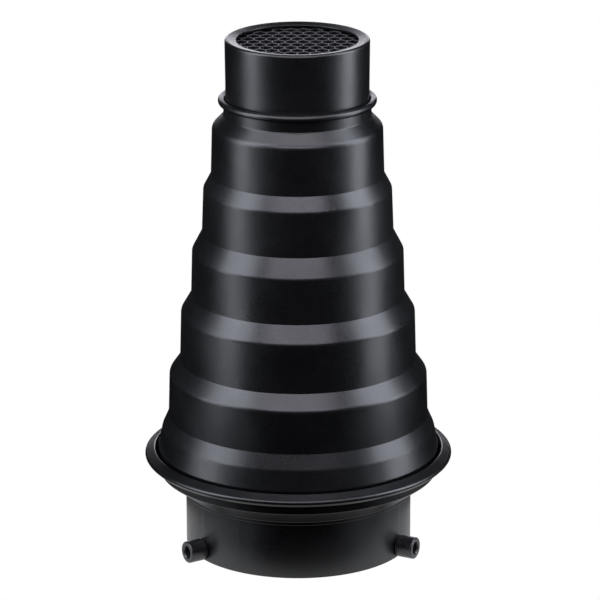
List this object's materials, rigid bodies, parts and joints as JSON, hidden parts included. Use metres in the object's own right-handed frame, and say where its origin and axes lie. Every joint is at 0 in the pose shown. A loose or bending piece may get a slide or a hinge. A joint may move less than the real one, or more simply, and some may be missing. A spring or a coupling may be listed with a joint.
{
  "type": "conical light snoot",
  "caption": "Stepped conical snoot with a pull-off honeycomb grid cap at its small end and a bayonet mount neck under a rimmed base dish.",
  "frame": {"origin": "centre of the mount neck's end face, the lowest plane of the part", "axes": "+Z along the light axis from the neck to the nozzle, +Y through one bayonet stud, +X by the right-hand rule"},
  "size_m": [0.134, 0.134, 0.2265],
  "materials": {
    "coated_neck": "satin black powder coat on aluminium",
    "coated_dish": "satin black powder coat on spun aluminium",
    "coated_cone": "satin black powder coat on spun aluminium",
    "coated_stud": "satin black coat on turned steel",
    "blackened_steel": "black oxide",
    "zinc_steel": "zinc plate",
    "coated_rivet": "coated over with the dish",
    "coated_cap": "satin black powder coat on aluminium tube",
    "black_foil": "black anodised foil",
    "ring_steel": "blackened spring wire"
  },
  "bodies": {
    "snoot": {"mount_neck": "coated_neck", "base_dish": "coated_dish", "cone_shell": "coated_cone", "bayonet_stud_1": "coated_stud", "bayonet_stud_2": "coated_stud", "bayonet_stud_3": "coated_stud", "stud_screw_1": "blackened_steel", "stud_screw_2": "blackened_steel", "stud_screw_3": "blackened_steel", "stud_washer_1": "zinc_steel", "stud_washer_2": "zinc_steel", "stud_washer_3": "zinc_steel", "floor_rivet_1": "coated_rivet", "floor_rivet_2": "coated_rivet", "floor_rivet_3": "coated_rivet"},
    "grid_cap": {"grid_cap": "coated_cap", "honeycomb_core": "black_foil", "retaining_ring": "ring_steel"}
  },
  "joints": [
    {"name": "grid_cap_slide", "type": "slide", "parent": "snoot", "child": "grid_cap", "axis": [0, 0, 1], "range_m": [0, 0.05]}
  ]
}
